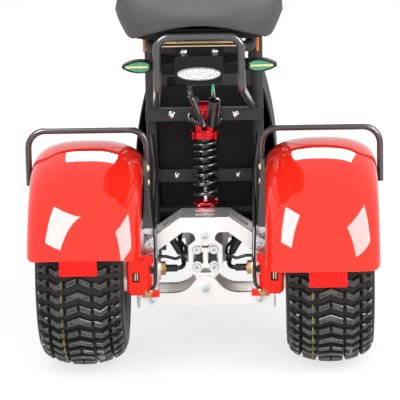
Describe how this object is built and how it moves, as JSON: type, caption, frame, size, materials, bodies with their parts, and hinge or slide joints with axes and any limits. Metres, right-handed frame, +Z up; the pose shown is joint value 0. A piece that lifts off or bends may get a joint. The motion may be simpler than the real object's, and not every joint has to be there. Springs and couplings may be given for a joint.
{
  "type": "electric tricycle scooter",
  "caption": "Electric tricycle scooter with fat knobbly tyres, glossy rear fenders, a machined tilting rear linkage with coil-over shock, flat footboard, broad saddle and tall handlebar.",
  "frame": {"origin": "on the ground, at the middle of the overall length and width", "axes": "+Y is the driving direction, +X to the rider's right, +Z up"},
  "size_m": [0.782, 1.7272, 1.022],
  "materials": {
    "black_plastic": "matt black plastic",
    "zinc_steel": "zinc-plated steel",
    "black_rubber": "black rubber",
    "black_paint": "black powder coat",
    "deck_grey": "grey painted sheet",
    "red_anodised": "red anodised aluminium",
    "gloss_red": "glossy red moulded plastic",
    "machined_aluminium": "machined and polished aluminium",
    "tyre": "black tyre rubber",
    "clear_lens": "clear lens",
    "red_reflector": "red reflector",
    "seat_leather": "dark grained leatherette",
    "yellow_zinc": "yellow-passivated zinc",
    "orange_reflector": "orange reflector"
  },
  "bodies": {
    "frame": {"battery_box": "black_plastic", "block_bolts": "zinc_steel", "body_cover": "black_plastic", "brake_hoses": "black_rubber", "deck_frame": "black_paint", "deck_mat": "black_rubber", "deck_tray": "deck_grey", "fender_stays": "black_paint", "front_frame": "black_paint", "guard_bars": "black_paint", "indicators": "black_plastic", "knuckles": "machined_aluminium", "lamp_bracket": "black_plastic", "lower_arm": "machined_aluminium", "motor_cables": "black_rubber", "pivot_bolts": "zinc_steel", "rear_axles": "zinc_steel", "rear_cage": "black_paint", "rear_calipers": "red_anodised", "rear_fender_left": "gloss_red", "rear_fender_right": "gloss_red", "rear_reflectors": "red_reflector", "seat_latch": "yellow_zinc", "seat_rails": "black_paint", "shock_body": "red_anodised", "shock_spring": "black_paint", "side_reflectors": "orange_reflector", "swingarm": "black_paint", "swingarm_shaft": "zinc_steel", "tail_hoop": "black_paint", "tail_lamp": "black_plastic", "tail_lens": "clear_lens", "tail_wiring": "black_rubber", "tilt_block": "machined_aluminium", "upper_arm": "machined_aluminium"},
    "rear_wheel_left": {"rear_tyre_left": "tyre", "rear_hub_left": "machined_aluminium", "rear_disc_left": "zinc_steel"},
    "rear_wheel_right": {"rear_tyre_right": "tyre", "rear_hub_right": "machined_aluminium", "rear_disc_right": "zinc_steel"},
    "front_wheel": {"front_tyre": "tyre", "front_hub": "machined_aluminium", "front_disc": "zinc_steel"},
    "steering": {"steering_stem": "black_paint", "handlebar": "black_paint", "fork_legs": "black_paint", "front_axle": "zinc_steel", "grips": "black_rubber", "brake_levers": "black_paint", "front_fender": "gloss_red", "front_caliper": "red_anodised", "headlamp": "black_plastic", "headlamp_lens": "clear_lens", "display": "black_plastic"},
    "seat": {"seat_pan": "black_plastic", "seat_cushion": "seat_leather"}
  },
  "joints": [
    {"name": "rear_left_spin", "type": "hinge", "parent": "frame", "child": "rear_wheel_left", "pos_m": [-0.27, -0.57861, 0.21], "axis": [1, 0, 0], "continuous": true},
    {"name": "rear_right_spin", "type": "hinge", "parent": "frame", "child": "rear_wheel_right", "pos_m": [0.27, -0.57861, 0.21], "axis": [1, 0, 0], "continuous": true},
    {"name": "steering_turn", "type": "hinge", "parent": "frame", "child": "steering", "pos_m": [0, 0.49023, 0.48462], "axis": [0, -0.4226, 0.9063], "range_deg": [-38, 38]},
    {"name": "front_spin", "type": "hinge", "parent": "steering", "child": "front_wheel", "pos_m": [0, 0.65139, 0.21], "axis": [1, 0, 0], "continuous": true},
    {"name": "seat_lid", "type": "hinge", "parent": "frame", "child": "seat", "pos_m": [0, -0.26061, 0.748], "axis": [-1, 0, 0], "range_deg": [0, 70]}
  ]
}
